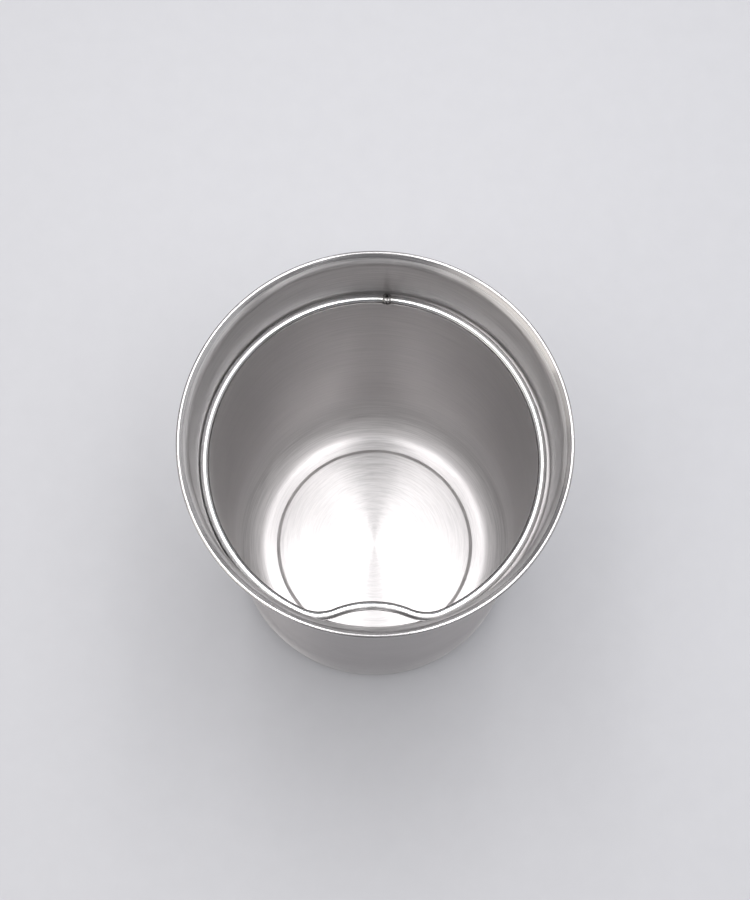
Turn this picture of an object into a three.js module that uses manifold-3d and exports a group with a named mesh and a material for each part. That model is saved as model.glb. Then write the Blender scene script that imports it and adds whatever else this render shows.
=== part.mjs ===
// Small round waste bin in brushed stainless steel, with a loose wire ring that holds the bag.
//
// Two separate pieces:
//   bin_shell  one sheet of steel, drawn deep and spun: floor with a stamped foot ring, tapered wall,
//              a ledge a little below the mouth, a wider collar above it and a curled rim
//   bag_ring   round wire bent into a ring, butt welded at the back, with a finger bump at the front;
//              it lies loose on the ledge and lifts straight out
//
// Millimetres, +Z up. The origin is the centre of the base, on the surface that the bin stands on.
// The front, where the finger bump is, faces -Y.

import * as THREE from "three";
import { mergeVertices } from "three/addons/utils/BufferGeometryUtils.js";
import Module from "manifold-3d";

const wasm = await Module();
wasm.setup();

// ---- driving dimensions ----

const HEIGHT = 300;
const RIM_DIAMETER = 211;
const SHEET = 0.6;
const TURN_SEGMENTS = 60; // facets round the shell; a multiple of 4, so that the box is exact

// Curled rim and the flare that leads into it.
const BEAD_DIAMETER = 2.4;
const CURL_TURN = 1.5 * Math.PI;
const CURL_STEPS = 6;
const FLARE_ANGLE = THREE.MathUtils.degToRad(45); // away from upright
const FLARE_LENGTH = 6.1;
const FLARE_BEND = 7;

// Collar above the ledge, and the ledge itself. Radii are those of the middle of the sheet.
const COLLAR_FOOT_RADIUS = 97.8;
const LEDGE_BELOW_RIM = 50;
const LEDGE_BEND = 2.5;

// Wall below the ledge, and the corner that it turns into the floor.
const WALL_TOP_RADIUS = 92.7;
const WALL_FOOT_RADIUS = 91.3;
const WALL_TOP_BEND = 0.9;
const FLOOR_BEND = 19.3;

// Floor: the middle is stamped up, which leaves a flat ring to stand on.
const STEP_RADIUS = 66.1;
const STEP_RISE = 1.3;
const STEP_WIDTH = 2.2;
const DOME_RISE = 1.9;
const DOME_STEPS = 4;

// Bag ring.
const WIRE_DIAMETER = 5;
const WIRE_SIDES = 10;
const RING_RADIUS = 93.5; // centre line of the wire
const RING_SHIFT = -1.0; // the loose ring lies this far to the left of the bin's centre
const RING_TURN = 0.0035; // and is turned by this much, in radians
const RESTING_GAP = 0.3;
const RING_STEP = 5; // longest step along the wire

// Finger bump: the wire bends in, over and out again, in three tangent arcs.
const BUMP_DEPTH = 12.1;
const BUMP_HALF_WIDTH = 29.1; // from its middle to the centre of each outer bend
const BUMP_OUTER_BEND = 23.5;

// Butt weld that closes the ring, at the back.
const WELD_ANGLE = THREE.MathUtils.degToRad(4.4); // clockwise from straight back, seen from above
const WELD_GAP = 0.4;
const WELD_LENGTH = 3.6;
const WELD_WIDTH = 6.2;
const WELD_HEIGHT = 5.6;

// ---- values worked out from them ----

const BEAD_RADIUS = BEAD_DIAMETER / 2;
const CURL_RADIUS = BEAD_RADIUS - SHEET / 2; // of the middle of the sheet
const CURL_CENTRE = new THREE.Vector2(RIM_DIAMETER / 2 - BEAD_RADIUS, HEIGHT - BEAD_RADIUS);
const LEDGE_TOP = HEIGHT - LEDGE_BELOW_RIM;
const LEDGE_MIDDLE = LEDGE_TOP - SHEET / 2;
const FOOT_MIDDLE = SHEET / 2;
const WIRE_RADIUS = WIRE_DIAMETER / 2;
const RING_HEIGHT = LEDGE_TOP + RESTING_GAP + WIRE_RADIUS;

// ---- materials ----

const brushedSteel = new THREE.MeshStandardMaterial({ color: 0xc4c4c6, roughness: 0.34, metalness: 1 });
const steelWire = new THREE.MeshStandardMaterial({ color: 0xcfcfd0, roughness: 0.2, metalness: 1 });

// ---- outlines ----

// The points of a circular arc, both ends included.
function arcPoints(centre, radius, from, to, steps) {
  const points = [];
  for (let i = 0; i <= steps; i += 1) {
    const angle = from + ((to - from) * i) / steps;
    const point = new THREE.Vector2(Math.cos(angle), Math.sin(angle));
    points.push(point.multiplyScalar(radius).add(centre));
  }
  return points;
}

// The arc that rounds the corner between two straight runs.
function roundedCorner(before, corner, after, radius, steps) {
  const inward = before.clone().sub(corner).normalize();
  const outward = after.clone().sub(corner).normalize();
  const halfAngle = Math.acos(inward.dot(outward)) / 2;
  const bisector = inward.clone().add(outward).normalize();
  const centre = corner.clone().addScaledVector(bisector, radius / Math.sin(halfAngle));
  const start = corner.clone().addScaledVector(inward, radius / Math.tan(halfAngle)).sub(centre);
  const end = corner.clone().addScaledVector(outward, radius / Math.tan(halfAngle)).sub(centre);
  const from = start.angle();
  const turn = Math.atan2(start.cross(end), start.dot(end));
  return arcPoints(centre, radius, from, from + turn, steps);
}

// Middle line of the floor's raised centre, from the axis out to the foot of its step.
function floorCentre() {
  const edge = STEP_RADIUS - STEP_WIDTH / 2;
  const points = [];
  for (let i = 0; i <= DOME_STEPS; i += 1) {
    const share = i / DOME_STEPS;
    const height = FOOT_MIDDLE + STEP_RISE + DOME_RISE * (1 - share * share);
    points.push(new THREE.Vector2(edge * share, height));
  }
  points.push(new THREE.Vector2(edge + STEP_WIDTH, FOOT_MIDDLE));
  return points;
}

// Middle line of the sheet from the axis to the free edge inside the curl, as (radius, height).
function sheetMiddleLine() {
  // The flare runs into the curl without a kink.
  const curlStart = Math.PI - FLARE_ANGLE;
  const curl = arcPoints(CURL_CENTRE, CURL_RADIUS, curlStart, curlStart - CURL_TURN, CURL_STEPS);
  const flareTop = curl[0];
  const upFlare = new THREE.Vector2(Math.sin(FLARE_ANGLE), Math.cos(FLARE_ANGLE));
  const flareFoot = flareTop.clone().addScaledVector(upFlare, -FLARE_LENGTH);
  const floor = floorCentre();
  const stepFoot = floor[floor.length - 1];
  const floorCorner = new THREE.Vector2(WALL_FOOT_RADIUS, FOOT_MIDDLE);
  const wallTop = new THREE.Vector2(WALL_TOP_RADIUS, LEDGE_MIDDLE);
  const collarFoot = new THREE.Vector2(COLLAR_FOOT_RADIUS, LEDGE_MIDDLE);
  return [
    ...floor,
    ...roundedCorner(stepFoot, floorCorner, wallTop, FLOOR_BEND, 6),
    ...roundedCorner(floorCorner, wallTop, collarFoot, WALL_TOP_BEND, 2),
    ...roundedCorner(wallTop, collarFoot, flareFoot, LEDGE_BEND, 3),
    ...roundedCorner(collarFoot, flareFoot, flareTop, FLARE_BEND, 3),
    ...curl,
  ];
}

// The line moved sideways by a distance, to its left when that is positive.
function offsetLine(points, distance) {
  return points.map((point, i) => {
    const before = points[Math.max(i - 1, 0)];
    const after = points[Math.min(i + 1, points.length - 1)];
    const arriving = point.clone().sub(before).normalize();
    const leaving = after.clone().sub(point).normalize();
    const along = arriving.clone().add(leaving).normalize();
    const reference = i === 0 ? leaving : arriving;
    const mitre = distance / Math.max(along.dot(reference), 0.5);
    const moved = new THREE.Vector2(-along.y, along.x).multiplyScalar(mitre).add(point);
    return i === 0 ? moved.setX(0) : moved;
  });
}

// ---- pieces ----

function makeShell() {
  const middle = sheetMiddleLine();
  const outside = offsetLine(middle, -SHEET / 2);
  const inside = offsetLine(middle, SHEET / 2);
  const profile = [...outside, ...inside.reverse()];
  const geometry = new THREE.LatheGeometry(profile, TURN_SEGMENTS);
  geometry.rotateX(Math.PI / 2);
  const mesh = new THREE.Mesh(geometry, brushedSteel);
  mesh.name = "bin_shell";
  return mesh;
}

// Centre line of the wire, seen from above with the bump at -Y, from the weld all the way round to it.
function wireLine() {
  const outerHeight = Math.sqrt((RING_RADIUS - BUMP_OUTER_BEND) ** 2 - BUMP_HALF_WIDTH ** 2);
  const rise = RING_RADIUS - BUMP_DEPTH - outerHeight;
  const innerBend =
    (BUMP_HALF_WIDTH ** 2 + rise ** 2 - BUMP_OUTER_BEND ** 2) / (2 * (BUMP_OUTER_BEND - rise));
  const down = -Math.PI / 2;
  const joinAngle = Math.atan2(BUMP_HALF_WIDTH, outerHeight); // where the ring's arc meets an outer bend
  const bumpAngle = Math.atan2(BUMP_HALF_WIDTH, rise + innerBend); // where an outer bend meets the inner
  const backAngle = Math.PI / 2 - WELD_ANGLE;
  const halfGap = WELD_GAP / 2 / RING_RADIUS;

  const path = new THREE.Path();
  path.absarc(0, 0, RING_RADIUS, backAngle + halfGap, 2 * Math.PI + down - joinAngle, false);
  path.absarc(
    -BUMP_HALF_WIDTH, -outerHeight, BUMP_OUTER_BEND, down - joinAngle, down + bumpAngle, false,
  );
  path.absarc(
    0, -(outerHeight + rise + innerBend), innerBend,
    Math.PI / 2 + bumpAngle, Math.PI / 2 - bumpAngle, true,
  );
  path.absarc(
    BUMP_HALF_WIDTH, -outerHeight, BUMP_OUTER_BEND, down - bumpAngle, down + joinAngle, false,
  );
  path.absarc(0, 0, RING_RADIUS, down + joinAngle, backAngle - halfGap, false);
  return path;
}

// A solid of manifold-3d from a closed geometry.
function toSolid(geometry) {
  const bare = geometry.clone();
  bare.deleteAttribute("normal");
  bare.deleteAttribute("uv");
  const merged = mergeVertices(bare, 1e-4);
  return new wasm.Manifold(
    new wasm.Mesh({
      numProp: 3,
      vertProperties: merged.getAttribute("position").array,
      triVerts: new Uint32Array(merged.index.array),
    }),
  );
}

function toGeometry(solid) {
  const mesh = solid.getMesh();
  const geometry = new THREE.BufferGeometry();
  geometry.setAttribute("position", new THREE.BufferAttribute(mesh.vertProperties, 3));
  geometry.setIndex(new THREE.BufferAttribute(mesh.triVerts, 1));
  geometry.computeVertexNormals();
  return geometry;
}

function makeBagRing() {
  const line = wireLine();
  const steps = Math.ceil(line.getLength() / RING_STEP);
  const centreLine = new THREE.CatmullRomCurve3(
    line.getSpacedPoints(2 * steps).map((point) => new THREE.Vector3(point.x, point.y, 0)),
  );
  const section = new THREE.Shape(arcPoints(new THREE.Vector2(), WIRE_RADIUS, 0, 2 * Math.PI, WIRE_SIDES));
  const wire = new THREE.ExtrudeGeometry(section, { steps, extrudePath: centreLine, curveSegments: 1 });

  // The weld bulges up and sideways, but not below the wire, which lies flat on the ledge.
  const weld = new THREE.SphereGeometry(0.5, 12, 8);
  weld.scale(WELD_LENGTH, WELD_WIDTH, WELD_HEIGHT);
  weld.translate(0, RING_RADIUS, WELD_HEIGHT / 2 - WIRE_RADIUS);
  weld.rotateZ(-WELD_ANGLE);

  const mesh = new THREE.Mesh(toGeometry(toSolid(wire).add(toSolid(weld))), steelWire);
  mesh.name = "bag_ring";
  mesh.position.set(RING_SHIFT, 0, RING_HEIGHT);
  mesh.rotation.z = RING_TURN;
  return mesh;
}

const bin = new THREE.Group();
bin.add(makeShell(), makeBagRing());

export default bin;
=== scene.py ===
"""Looks of the small waste bin with a loose bag ring: fine meshes, brushed steel, camera, floor and lights.

The two CAD nodes keep their sizes and places. Each is shown as a fine mesh of the same form, in metres.
"""

import math

import bmesh
import bpy
from mathutils import Matrix, Vector


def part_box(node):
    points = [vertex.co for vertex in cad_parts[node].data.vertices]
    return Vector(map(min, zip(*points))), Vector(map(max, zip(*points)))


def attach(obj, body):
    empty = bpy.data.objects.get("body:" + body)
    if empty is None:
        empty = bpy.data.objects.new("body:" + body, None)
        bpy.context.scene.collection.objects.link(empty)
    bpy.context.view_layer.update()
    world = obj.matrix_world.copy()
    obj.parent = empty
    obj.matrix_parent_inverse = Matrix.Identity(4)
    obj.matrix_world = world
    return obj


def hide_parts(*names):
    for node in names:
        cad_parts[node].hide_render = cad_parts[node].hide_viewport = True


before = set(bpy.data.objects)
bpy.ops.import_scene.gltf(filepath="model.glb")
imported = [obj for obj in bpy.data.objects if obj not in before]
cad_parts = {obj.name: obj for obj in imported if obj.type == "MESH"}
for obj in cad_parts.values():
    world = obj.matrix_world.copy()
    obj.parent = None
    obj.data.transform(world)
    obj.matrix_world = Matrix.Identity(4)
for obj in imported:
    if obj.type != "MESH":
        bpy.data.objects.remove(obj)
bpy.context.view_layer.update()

MM = 0.001
SHELL_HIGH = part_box("bin_shell")[1]
RING_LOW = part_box("bag_ring")[0]

# ---- sizes of the shell; radii are those of the middle of the sheet ----

HEIGHT = SHELL_HIGH.z
RIM_RADIUS = 105.5 * MM
SHEET = 0.6 * MM
SHELL_SEGMENTS = 288
BEND_STEP = math.radians(9)

BEAD_RADIUS = 1.2 * MM
CURL_TURN = math.radians(270)
FLARE_ANGLE = math.radians(45)
FLARE_LENGTH = 6.1 * MM
FLARE_BEND = 7 * MM

COLLAR_FOOT_RADIUS = 97.8 * MM
LEDGE_BELOW_RIM = 50 * MM
LEDGE_BEND = 2.5 * MM
WALL_TOP_RADIUS = 92.7 * MM
WALL_FOOT_RADIUS = 91.3 * MM
WALL_TOP_BEND = 0.9 * MM
WALL_STEPS = 24
COLLAR_STEPS = 6
FLOOR_BEND = 19.3 * MM

STEP_RADIUS = 66.1 * MM
STEP_RISE = 1.3 * MM
STEP_WIDTH = 2.2 * MM
STEP_BEND = 1.1 * MM
DOME_RISE = 1.9 * MM
DOME_STEPS = 20
SHORTEST_SIDE = 0.01 * MM

# ---- sizes of the bag ring ----

WIRE_RADIUS = 2.5 * MM
WIRE_SIDES = 28
WIRE_STEP = 1.0 * MM
RING_RADIUS = 93.5 * MM
RING_SHIFT = -1.0 * MM
RING_TURN = 0.0035
RING_HEIGHT = RING_LOW.z + WIRE_RADIUS
BUMP_DEPTH = 12.1 * MM
BUMP_HALF_WIDTH = 29.1 * MM
BUMP_OUTER_BEND = 23.5 * MM
WELD_ANGLE = math.radians(4.4)
WELD_HALF_LENGTH = 1.6 * MM
WELD_BULGE = 0.9 * MM
WELD_SEAM_DEPTH = 0.35
WELD_SEAM_WIDTH = 0.22

# ---- colours ----

SHELL_DARK = (0.42, 0.409, 0.409, 1)
SHELL_LIGHT = (0.57, 0.554, 0.554, 1)
SHELL_STAIN = (0.56, 0.54, 0.535, 1)
# Painted shade: a grey multiplied over the wall and the floor's corner, and less so over the collar.
WALL_PAINTED_SHADE = (0.81, 0.80, 0.80, 1)
WIRE_DARK = (0.64, 0.64, 0.64, 1)
WIRE_LIGHT = (0.74, 0.74, 0.74, 1)
WELD_TEMPER = (0.40, 0.38, 0.36, 1)
WELD_SCALE = (0.02, 0.019, 0.018, 1)
PAPER_DARK = (0.515, 0.515, 0.536, 1)
PAPER_LIGHT = (0.545, 0.545, 0.566, 1)

# ---- finishes and painted shade; a pair is the two ends of a band, and a noise band runs from its dark to its light end ----

GRAIN_BAND = (0.3, 0.7)
STAIN_BAND = (0.35, 0.75)
STAIN_SHARE = 0.35
SMUDGE_BAND = (0.4, 0.7)
SMUDGE_ROUGHENING = 0.03

SHELL_ROUGHNESS = (0.28, 0.37)
SHELL_BRUSHING = 0.94
# Painted shade: where the wall and the floor's corner are darkened, how much, and where the collar's
# darkening eases.
WALL_SHADE_HEIGHTS = (20 * MM, 80 * MM)
CORNER_SHADE_RADII = (69 * MM, 74 * MM)
CORNER_SHADE_HEIGHTS = (2 * MM, 6 * MM)
CORNER_SHADE_SHARE = 0.25
COLLAR_SHADE_EASING_HEIGHTS = (235 * MM, 255 * MM)
COLLAR_SHADE_EASING_SHARE = 0.7
CORNER_ROUGH_RADII = (74 * MM, 80 * MM)
CORNER_ROUGH_HEIGHTS = (25 * MM, 60 * MM)
CORNER_ROUGHENING = 0.12
MIDDLE_ROUGH_RADII = (0.0, 60 * MM)
MIDDLE_ROUGHENING = 0.06
BEAD_SMOOTH_HEIGHTS = (HEIGHT - 2.6 * MM, HEIGHT - 1.6 * MM)
BEAD_SMOOTHING = -0.12

WIRE_ROUGHNESS = (0.13, 0.2)
TEMPER_DISTANCES = (3.5 * MM, 8 * MM)
TEMPER_SHARE = 0.6
SCALE_DISTANCES = (3.5 * MM, 4.5 * MM)
SCALE_RAGGEDNESS = 1.5 * MM
SCALE_ROUGHENING = 0.25
PAPER_ROUGHNESS = 0.9

# ---- camera, floor and lights; lengths in metres, powers in watts ----

CAMERA_BACK = 231.3 * MM
CAMERA_HEIGHT = 1221.7 * MM
CAMERA_TILT = math.radians(13.738)
CAMERA_YAW = math.radians(0.037)
CAMERA_ROLL = math.radians(0.437)
CAMERA_LENS = 72  # focal length in millimetres
CAMERA_NEAREST = 0.01
FLOOR_HALF_WIDTH = 3.0

WHITE = (1.0, 0.995, 1.0)
WARM = (1.0, 0.965, 0.9)
COOL = (0.96, 0.98, 1.0)
PALE_COOL = (0.98, 0.99, 1.0)
AIR_COLOUR = (0.95, 0.96, 1.0, 1)
AIR_STRENGTH = 0.27

# Softboxes that face straight down: name, place, size, power, colour. They are brightest beside the gap
# over the middle, where two weak strips leave a dark band that the brushed floor spreads into a wedge.
OVERHEAD_LIGHTS = (
    ("softbox_left", (-0.19, 0.22, 1.5), (0.14, 1.3), 5.6, WHITE),
    ("softbox_right", (0.19, 0.22, 1.5), (0.14, 1.3), 5.8, WHITE),
    ("middle_left", (-0.38, 0.15, 1.5), (0.24, 1.3), 4.6, WHITE),
    ("middle_right", (0.38, 0.15, 1.5), (0.24, 1.3), 4.9, WHITE),
    ("outer_left", (-0.9, 0.1, 1.5), (0.8, 1.6), 2.5, WHITE),
    ("outer_right", (0.9, 0.1, 1.5), (0.8, 1.6), 3.4, WHITE),
    ("strip_back", (0, 0.4, 1.52), (0.23, 0.6), 1.7, PALE_COOL),
    ("strip_front", (0, -0.33, 1.52), (0.23, 0.36), 0.4, PALE_COOL),
)

# Panels round the bin that light its flare: several widths at one side make an edge that fades.
PANEL_AIM = (0, 0, 0.3)
PANEL_LIGHTS = (
    ("panel_left_core", (-1.3, -0.75, 0.62), (1.2, 0.6), 2.4, WARM),
    ("panel_left_wide", (-1.35, -0.65, 0.66), (2.2, 0.8), 2.2, WARM),
    ("panel_left_edge", (-1.4, -0.5, 0.7), (3.4, 0.9), 3.0, WARM),
    ("panel_right_wide", (1.4, 0.1, 0.66), (2.2, 0.8), 2.1, COOL),
    ("panel_right_edge", (1.4, 0.35, 0.7), (3.4, 0.9), 1.7, COOL),
    ("panel_back", (0, 1.7, 0.6), (2.4, 0.7), 3, PALE_COOL),
)


# ---- outlines of the sheet, as (radius, height) ----


def arc_points(centre, radius, start, turn):
    """Points of a circular arc, both ends included, close enough together to look round."""
    steps = max(2, math.ceil(abs(turn) / BEND_STEP))
    points = []
    for i in range(steps + 1):
        angle = start + turn * i / steps
        points.append(centre + Vector((math.cos(angle), math.sin(angle))) * radius)
    return points


def rounded_corner(before, corner, after, radius):
    """The arc that rounds the corner between two straight runs."""
    inward = (before - corner).normalized()
    outward = (after - corner).normalized()
    half_angle = math.acos(inward.dot(outward)) / 2
    centre = corner + (inward + outward).normalized() * radius / math.sin(half_angle)
    start = corner + inward * radius / math.tan(half_angle) - centre
    end = corner + outward * radius / math.tan(half_angle) - centre
    turn = math.atan2(start.x * end.y - start.y * end.x, start.dot(end))
    return arc_points(centre, radius, math.atan2(start.y, start.x), turn)


def straight_run(start, end, steps):
    """Points between two ends, the ends left out."""
    return [start.lerp(end, i / steps) for i in range(1, steps)]


def floor_line():
    """Middle of the sheet from the axis, over the raised centre, down its step to the foot."""
    edge = STEP_RADIUS - STEP_WIDTH / 2
    foot = SHEET / 2
    dome = []
    for i in range(DOME_STEPS):
        share = i / DOME_STEPS
        dome.append(Vector((edge * share, foot + STEP_RISE + DOME_RISE * (1 - share * share))))
    step_top = Vector((edge, foot + STEP_RISE))
    step_foot = Vector((edge + STEP_WIDTH, foot))
    beyond = Vector((WALL_FOOT_RADIUS, foot))
    return (
        dome
        + rounded_corner(dome[-1], step_top, step_foot, STEP_BEND)
        + rounded_corner(step_top, step_foot, beyond, STEP_BEND)
    )


def sheet_line():
    """Middle of the sheet from the axis to its free edge inside the curl of the rim."""
    ledge = HEIGHT - LEDGE_BELOW_RIM - SHEET / 2
    curl_radius = BEAD_RADIUS - SHEET / 2
    curl_centre = Vector((RIM_RADIUS - BEAD_RADIUS, HEIGHT - BEAD_RADIUS))
    curl_start = math.pi - FLARE_ANGLE
    curl = arc_points(curl_centre, curl_radius, curl_start, -CURL_TURN)
    floor = floor_line()
    floor_corner = Vector((WALL_FOOT_RADIUS, SHEET / 2))
    wall_top = Vector((WALL_TOP_RADIUS, ledge))
    collar_foot = Vector((COLLAR_FOOT_RADIUS, ledge))
    flare_top = curl[0]
    flare_foot = flare_top - Vector((math.sin(FLARE_ANGLE), math.cos(FLARE_ANGLE))) * FLARE_LENGTH
    floor_bend = rounded_corner(floor[-1], floor_corner, wall_top, FLOOR_BEND)
    wall_bend = rounded_corner(floor_corner, wall_top, collar_foot, WALL_TOP_BEND)
    ledge_bend = rounded_corner(wall_top, collar_foot, flare_foot, LEDGE_BEND)
    flare_bend = rounded_corner(collar_foot, flare_foot, flare_top, FLARE_BEND)
    return (
        floor
        + floor_bend
        + straight_run(floor_bend[-1], wall_bend[0], WALL_STEPS)
        + wall_bend
        + ledge_bend
        + straight_run(ledge_bend[-1], flare_bend[0], COLLAR_STEPS)
        + flare_bend
        + curl
    )


def without_repeats(points):
    """The points with those left out that lie on the one before."""
    kept = points[:1]
    for point in points[1:]:
        if (point - kept[-1]).length > SHORTEST_SIDE:
            kept.append(point)
    return kept


def offset_line(points, distance):
    """The line moved sideways, to its left when the distance is positive."""
    moved = []
    for i, point in enumerate(points):
        before = points[max(i - 1, 0)]
        after = points[min(i + 1, len(points) - 1)]
        along = (after - before).normalized()
        moved.append(point + Vector((-along.y, along.x)) * distance)
    moved[0].x = 0
    return moved


# ---- meshes ----


def finish_mesh(name, mesh_data):
    """A smooth-shaded object from a bmesh whose faces are turned to point outwards."""
    bmesh.ops.recalc_face_normals(mesh_data, faces=mesh_data.faces)
    mesh = bpy.data.meshes.new(name)
    mesh_data.to_mesh(mesh)
    mesh_data.free()
    mesh.shade_smooth()
    piece = bpy.data.objects.new(name, mesh)
    bpy.context.scene.collection.objects.link(piece)
    return piece


def spin_profile(name, profile, segments):
    """A closed solid turned about Z from an outline that starts and ends on the axis."""
    mesh_data = bmesh.new()
    pole_low = mesh_data.verts.new((0, 0, profile[0].y))
    pole_high = mesh_data.verts.new((0, 0, profile[-1].y))
    rings = []
    for radius, height in profile[1:-1]:
        ring = []
        for i in range(segments):
            angle = 2 * math.pi * i / segments
            ring.append(mesh_data.verts.new((radius * math.cos(angle), radius * math.sin(angle), height)))
        rings.append(ring)
    for i in range(segments):
        j = (i + 1) % segments
        mesh_data.faces.new((pole_low, rings[0][j], rings[0][i]))
        mesh_data.faces.new((pole_high, rings[-1][i], rings[-1][j]))
        for lower, upper in zip(rings, rings[1:]):
            mesh_data.faces.new((lower[i], lower[j], upper[j], upper[i]))
    return finish_mesh(name, mesh_data)


def make_shell():
    """The sheet as a closed solid of revolution, with the thickness that it has in the CAD model."""
    middle = without_repeats(sheet_line())
    outside = offset_line(middle, -SHEET / 2)
    inside = offset_line(middle, SHEET / 2)
    shell = spin_profile("brushed_shell", outside + inside[::-1], SHELL_SEGMENTS)
    shell.data.materials.append(shell_steel())
    return shell


def wire_line():
    """Middle of the wire from above, bump at -Y, once round from the weld as a closed loop."""
    outer_height = math.sqrt((RING_RADIUS - BUMP_OUTER_BEND) ** 2 - BUMP_HALF_WIDTH**2)
    rise = RING_RADIUS - BUMP_DEPTH - outer_height
    reach = BUMP_HALF_WIDTH**2 + rise**2 - BUMP_OUTER_BEND**2
    inner_bend = reach / (2 * (BUMP_OUTER_BEND - rise))
    join_angle = math.atan2(BUMP_HALF_WIDTH, outer_height)
    bump_angle = math.atan2(BUMP_HALF_WIDTH, rise + inner_bend)
    back = math.pi / 2 - WELD_ANGLE
    front = 1.5 * math.pi
    arcs = [
        (Vector((0, 0)), RING_RADIUS, back, front - join_angle),
        (Vector((-BUMP_HALF_WIDTH, -outer_height)), BUMP_OUTER_BEND, front - join_angle, front + bump_angle),
        (Vector((0, BUMP_DEPTH - RING_RADIUS - inner_bend)), inner_bend,
         math.pi / 2 + bump_angle, math.pi / 2 - bump_angle),
        (Vector((BUMP_HALF_WIDTH, -outer_height)), BUMP_OUTER_BEND, front - bump_angle, front + join_angle),
        (Vector((0, 0)), RING_RADIUS, front + join_angle, back + 2 * math.pi),
    ]
    points = []
    for centre, radius, start, end in arcs:
        steps = math.ceil(abs(end - start) * radius / WIRE_STEP)
        for i in range(steps):
            angle = start + (end - start) * i / steps
            points.append(centre + Vector((math.cos(angle), math.sin(angle))) * radius)
    return points


def weld_bulge(distance, around):
    """How far the weld stands out of the wire, at a distance along it and an angle round it."""
    nearness = distance / WELD_HALF_LENGTH
    body = math.exp(-(nearness**4))
    ripple = 1 + 0.25 * math.sin(3 * around + 1.1) + 0.15 * math.cos(2 * around)
    seam = 1 - WELD_SEAM_DEPTH * math.exp(-((nearness / WELD_SEAM_WIDTH) ** 2))
    return WELD_BULGE * body * ripple * seam


def make_ring():
    """The wire swept round its line, with the butt weld's bulge at the back, flat underneath."""
    line = wire_line()
    count = len(line)
    weld_point = line[0]
    mesh_data = bmesh.new()
    rings = []
    for i, point in enumerate(line):
        along = (line[(i + 1) % count] - line[i - 1]).normalized()
        outward = Vector((along.y, -along.x, 0))
        distance = (point - weld_point).length
        ring = []
        for j in range(WIRE_SIDES):
            around = 2 * math.pi * j / WIRE_SIDES
            radius = WIRE_RADIUS + weld_bulge(distance, around)
            side = outward * math.cos(around) * radius
            height = max(math.sin(around) * radius, -WIRE_RADIUS)
            ring.append(mesh_data.verts.new(Vector((point.x, point.y, height)) + side))
        rings.append(ring)
    for i, ring in enumerate(rings):
        following = rings[(i + 1) % count]
        for j in range(WIRE_SIDES):
            k = (j + 1) % WIRE_SIDES
            mesh_data.faces.new((ring[j], ring[k], following[k], following[j]))
    ring_piece = finish_mesh("wire_ring", mesh_data)
    ring_piece.data.transform(Matrix.Rotation(RING_TURN, 4, "Z"))
    ring_piece.data.transform(Matrix.Translation((RING_SHIFT, 0, RING_HEIGHT)))
    weld_place = Matrix.Rotation(RING_TURN, 2) @ weld_point + Vector((RING_SHIFT, 0))
    ring_piece.data.materials.append(wire_steel((weld_place.x, weld_place.y, RING_HEIGHT)))
    return ring_piece


# ---- materials ----


# A Mix node has sockets for every type of value; these are the ones for colours.
MIX_FIRST = 6
MIX_SECOND = 7
MIX_RESULT = 2


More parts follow.
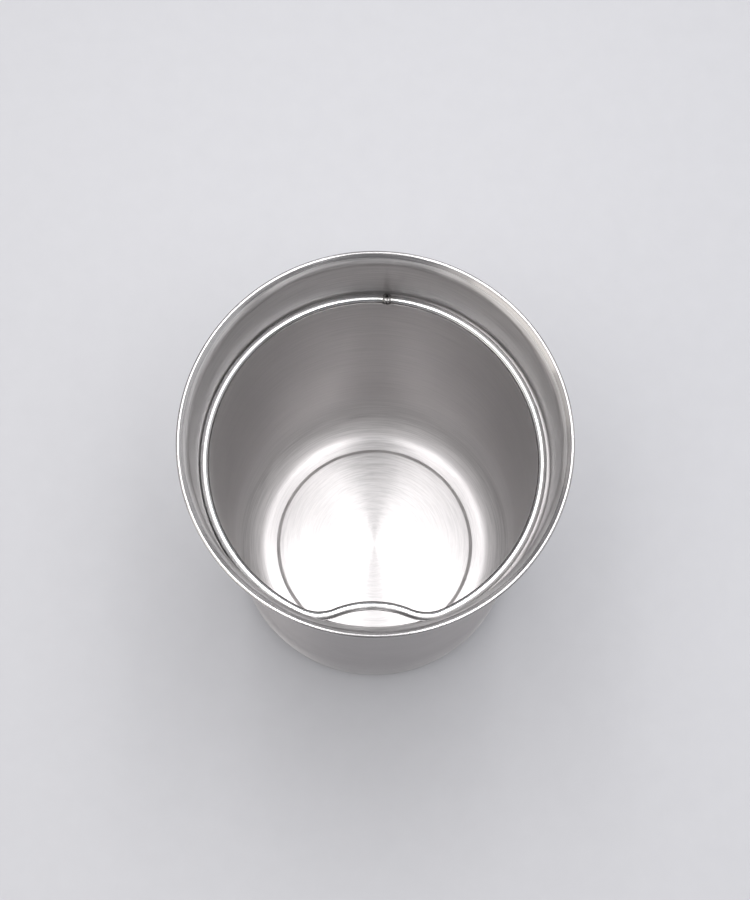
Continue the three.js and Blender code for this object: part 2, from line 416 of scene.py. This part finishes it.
class Graph:
    """Short calls to build one material's nodes."""

    def __init__(self, name):
        self.material = bpy.data.materials.new(name)
        self.material.use_nodes = True
        self.tree = self.material.node_tree
        self.tree.nodes.clear()
        self.shader = self.tree.nodes.new("ShaderNodeBsdfPrincipled")
        output = self.tree.nodes.new("ShaderNodeOutputMaterial")
        self.tree.links.new(self.shader.outputs["BSDF"], output.inputs["Surface"])

    def put(self, socket, value):
        """Links a node's output to a socket, or sets the socket to a plain value."""
        if isinstance(value, bpy.types.NodeSocket):
            self.tree.links.new(value, socket)
        else:
            socket.default_value = value

    def math(self, operation, first, second=0.0):
        node = self.tree.nodes.new("ShaderNodeMath")
        node.operation = operation
        for socket, value in zip(node.inputs, (first, second)):
            self.put(socket, value)
        return node.outputs[0]

    def total(self, first, *others):
        result = first
        for other in others:
            result = self.math("ADD", result, other)
        return result

    def from_axis(self, x, y):
        """Distance of a point from the Z axis."""
        return self.math("SQRT", self.total(self.math("MULTIPLY", x, x), self.math("MULTIPLY", y, y)))

    def from_point(self, vector, point):
        """Distance of a point from a fixed one."""
        node = self.tree.nodes.new("ShaderNodeVectorMath")
        node.operation = "DISTANCE"
        self.put(node.inputs[0], vector)
        node.inputs[1].default_value = point
        return node.outputs["Value"]

    def vector(self, x, y, z):
        node = self.tree.nodes.new("ShaderNodeCombineXYZ")
        for socket, value in zip(node.inputs, (x, y, z)):
            self.put(socket, value)
        return node.outputs[0]

    def place(self):
        """The point's own x, y and z in the object, and the whole vector."""
        coordinates = self.tree.nodes.new("ShaderNodeTexCoord").outputs["Object"]
        parts = self.tree.nodes.new("ShaderNodeSeparateXYZ")
        self.put(parts.inputs[0], coordinates)
        return parts.outputs[0], parts.outputs[1], parts.outputs[2], coordinates

    def noise(self, vector, scale=1.0, detail=2.0, roughness=0.5):
        node = self.tree.nodes.new("ShaderNodeTexNoise")
        self.put(node.inputs["Vector"], vector)
        node.inputs["Scale"].default_value = scale
        node.inputs["Detail"].default_value = detail
        node.inputs["Roughness"].default_value = roughness
        return node.outputs["Fac"]

    def remap(self, value, low, high, new_low, new_high):
        """A value from low to high, moved smoothly to new_low to new_high and held at those ends."""
        node = self.tree.nodes.new("ShaderNodeMapRange")
        node.interpolation_type = "SMOOTHSTEP"
        for socket, number in zip(node.inputs, (value, low, high, new_low, new_high)):
            self.put(socket, number)
        return node.outputs[0]

    def blend(self, share, first, second, mode="MIX"):
        """The first colour, with a share of the second mixed in or laid over it."""
        node = self.tree.nodes.new("ShaderNodeMix")
        node.data_type = "RGBA"
        node.blend_type = mode
        self.put(node.inputs["Factor"], share)
        self.put(node.inputs[MIX_FIRST], first)
        self.put(node.inputs[MIX_SECOND], second)
        return node.outputs[MIX_RESULT]

    def bump(self, height, strength, distance):
        node = self.tree.nodes.new("ShaderNodeBump")
        node.inputs["Strength"].default_value = strength
        node.inputs["Distance"].default_value = distance
        self.put(node.inputs["Height"], height)
        self.put(self.shader.inputs["Normal"], node.outputs["Normal"])

    def brush_round_axis(self, strength):
        """Stretches highlights across brushing that runs round the Z axis."""
        node = self.tree.nodes.new("ShaderNodeTangent")
        node.direction_type = "RADIAL"
        node.axis = "Z"
        self.put(self.shader.inputs["Tangent"], node.outputs["Tangent"])
        self.shader.inputs["Anisotropic"].default_value = strength
        self.shader.inputs["Anisotropic Rotation"].default_value = 0.25


def grain_place(graph, turns, across):
    """A place that runs slowly round the axis and fast across it, which draws noise out into rings.

    turns is the radius, in cells of noise, of the circle that stands for once round the axis;
    across is the number of cells per metre outwards or upwards.
    """
    x, y, z, _ = graph.place()
    angle = graph.math("ARCTAN2", y, x)
    run = graph.total(graph.from_axis(x, y), z)
    return graph.vector(
        graph.math("MULTIPLY", graph.math("COSINE", angle), turns),
        graph.math("MULTIPLY", graph.math("SINE", angle), turns),
        graph.math("MULTIPLY", run, across),
    )


def shell_colour(graph, fine, radius, height):
    """Grain and faint stains. Painted shade darkens the wall more than the floor, and the collar lies
    between the two.
    """
    coarse = graph.noise(grain_place(graph, turns=1.6, across=420))
    tint = graph.remap(fine, *GRAIN_BAND, 0.0, 1.0)
    stain = graph.remap(coarse, *STAIN_BAND, 0.0, STAIN_SHARE)
    colour = graph.blend(tint, SHELL_DARK, SHELL_LIGHT)
    colour = graph.blend(stain, colour, SHELL_STAIN)
    # Painted shade: a grey multiplied over the wall and the floor's corner, eased off on the collar.
    wall_shade = graph.remap(height, *WALL_SHADE_HEIGHTS, 0.0, 1.0)
    corner = graph.remap(radius, *CORNER_SHADE_RADII, 0.0, CORNER_SHADE_SHARE)
    corner = graph.math("MULTIPLY", corner, graph.remap(height, *CORNER_SHADE_HEIGHTS, 1.0, 0.0))
    collar_easing = graph.remap(height, *COLLAR_SHADE_EASING_HEIGHTS, 0.0, COLLAR_SHADE_EASING_SHARE)
    painted_shade = graph.math("SUBTRACT", graph.math("MAXIMUM", wall_shade, corner), collar_easing)
    return graph.blend(painted_shade, colour, WALL_PAINTED_SHADE, "MULTIPLY")


def shell_roughness(graph, fine, radius, height, whole):
    """Grain and smudges. The rim's bead is smoother, the floor's middle and corner are rougher."""
    grain = graph.remap(fine, *GRAIN_BAND, *SHELL_ROUGHNESS)
    patches = graph.noise(whole, 14.0, 3.0, 0.55)
    smudge = graph.remap(patches, *SMUDGE_BAND, 0.0, SMUDGE_ROUGHENING)
    bead = graph.remap(height, *BEAD_SMOOTH_HEIGHTS, 0.0, BEAD_SMOOTHING)
    middle = graph.remap(radius, *MIDDLE_ROUGH_RADII, MIDDLE_ROUGHENING, 0.0)
    corner = graph.remap(radius, *CORNER_ROUGH_RADII, 0.0, CORNER_ROUGHENING)
    corner = graph.math("MULTIPLY", corner, graph.remap(height, *CORNER_ROUGH_HEIGHTS, 1.0, 0.0))
    return graph.total(grain, smudge, bead, middle, corner)


def shell_steel():
    """Stainless sheet brushed round its axis, with painted shade on its wall, floor corner and collar."""
    graph = Graph("shell_steel_brushed")
    fine = graph.noise(grain_place(graph, turns=3.4, across=1050), detail=3.0, roughness=0.6)
    x, y, height, whole = graph.place()
    radius = graph.from_axis(x, y)
    graph.put(graph.shader.inputs["Base Color"], shell_colour(graph, fine, radius, height))
    graph.put(graph.shader.inputs["Roughness"], shell_roughness(graph, fine, radius, height, whole))
    graph.shader.inputs["Metallic"].default_value = 1.0
    graph.brush_round_axis(SHELL_BRUSHING)
    graph.bump(fine, 0.12, 0.02 * MM)
    return graph.material


def wire_steel(weld_place):
    """Bright drawn wire, with the dull grey heat tint and dark scale round its weld."""
    graph = Graph("wire_steel_drawn")
    _, _, _, whole = graph.place()
    drawn = graph.noise(grain_place(graph, turns=1.2, across=3000))
    patches = graph.noise(whole, 900.0, 2.0, 0.6)
    distance = graph.from_point(whole, weld_place)
    ragged_distance = graph.total(distance, graph.math("MULTIPLY", patches, SCALE_RAGGEDNESS))
    tint = graph.remap(drawn, *GRAIN_BAND, 0.0, 1.0)
    tempered = graph.remap(distance, *TEMPER_DISTANCES, TEMPER_SHARE, 0.0)
    scaled = graph.remap(ragged_distance, *SCALE_DISTANCES, 1.0, 0.0)

    colour = graph.blend(tint, WIRE_DARK, WIRE_LIGHT)
    colour = graph.blend(tempered, colour, WELD_TEMPER)
    colour = graph.blend(scaled, colour, WELD_SCALE)
    graph.put(graph.shader.inputs["Base Color"], colour)
    graph.shader.inputs["Metallic"].default_value = 1.0
    grain = graph.remap(drawn, *GRAIN_BAND, *WIRE_ROUGHNESS)
    rough = graph.math("MULTIPLY", scaled, SCALE_ROUGHENING)
    graph.put(graph.shader.inputs["Roughness"], graph.total(grain, rough))
    graph.bump(drawn, 0.08, 0.01 * MM)
    return graph.material


def floor_paper():
    """Matt pale studio paper, a little cool."""
    graph = Graph("studio_paper")
    _, _, _, whole = graph.place()
    mottle = graph.noise(whole, 60.0, 4.0, 0.6)
    graph.put(graph.shader.inputs["Base Color"], graph.blend(mottle, PAPER_DARK, PAPER_LIGHT))
    graph.shader.inputs["Roughness"].default_value = PAPER_ROUGHNESS
    graph.bump(mottle, 0.05, 0.1 * MM)
    return graph.material


# ---- surroundings ----


def make_floor():
    """A wide sheet of paper under the bin."""
    mesh_data = bmesh.new()
    corners = []
    for x_side, y_side in ((-1, -1), (1, -1), (1, 1), (-1, 1)):
        corners.append(mesh_data.verts.new((x_side * FLOOR_HALF_WIDTH, y_side * FLOOR_HALF_WIDTH, 0)))
    mesh_data.faces.new(corners)
    floor = finish_mesh("studio_floor", mesh_data)
    floor.data.materials.append(floor_paper())


def make_light(name, place, aim, size, power, colour):
    """A rectangular softbox at a place, aimed at a point."""
    data = bpy.data.lights.new(name, "AREA")
    data.shape = "RECTANGLE"
    data.size, data.size_y = size
    data.energy = power
    data.color = colour
    light = bpy.data.objects.new(name, data)
    light.location = place
    light.rotation_euler = (Vector(aim) - Vector(place)).to_track_quat("-Z", "Y").to_euler()
    light.visible_camera = False
    bpy.context.scene.collection.objects.link(light)


def make_lights():
    """The softboxes, the panels and a dim even light from all round."""
    for name, place, size, power, colour in OVERHEAD_LIGHTS:
        make_light(name, place, (place[0], place[1], 0), size, power, colour)
    for name, place, size, power, colour in PANEL_LIGHTS:
        make_light(name, place, PANEL_AIM, size, power, colour)
    world = bpy.data.worlds.new("studio_air")
    world.use_nodes = True
    background = world.node_tree.nodes["Background"]
    background.inputs["Color"].default_value = AIR_COLOUR
    background.inputs["Strength"].default_value = AIR_STRENGTH
    bpy.context.scene.world = world


def make_camera():
    """The camera above the front of the bin, tilted from straight down towards the back."""
    data = bpy.data.cameras.new("camera")
    data.lens = CAMERA_LENS
    data.clip_start = CAMERA_NEAREST
    camera = bpy.data.objects.new("camera", data)
    turn = Matrix.Rotation(CAMERA_YAW, 4, "Z") @ Matrix.Rotation(CAMERA_TILT, 4, "X")
    turn = turn @ Matrix.Rotation(CAMERA_ROLL, 4, "Z")
    camera.matrix_world = Matrix.Translation((0, -CAMERA_BACK, CAMERA_HEIGHT)) @ turn
    bpy.context.scene.collection.objects.link(camera)
    bpy.context.scene.camera = camera


def main():
    make_camera()
    shell = make_shell()
    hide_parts("bin_shell")
    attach(shell, "bin")
    ring = make_ring()
    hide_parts("bag_ring")
    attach(ring, "ring")
    make_floor()
    make_lights()
    bpy.context.scene.view_settings.view_transform = "Standard"


main()
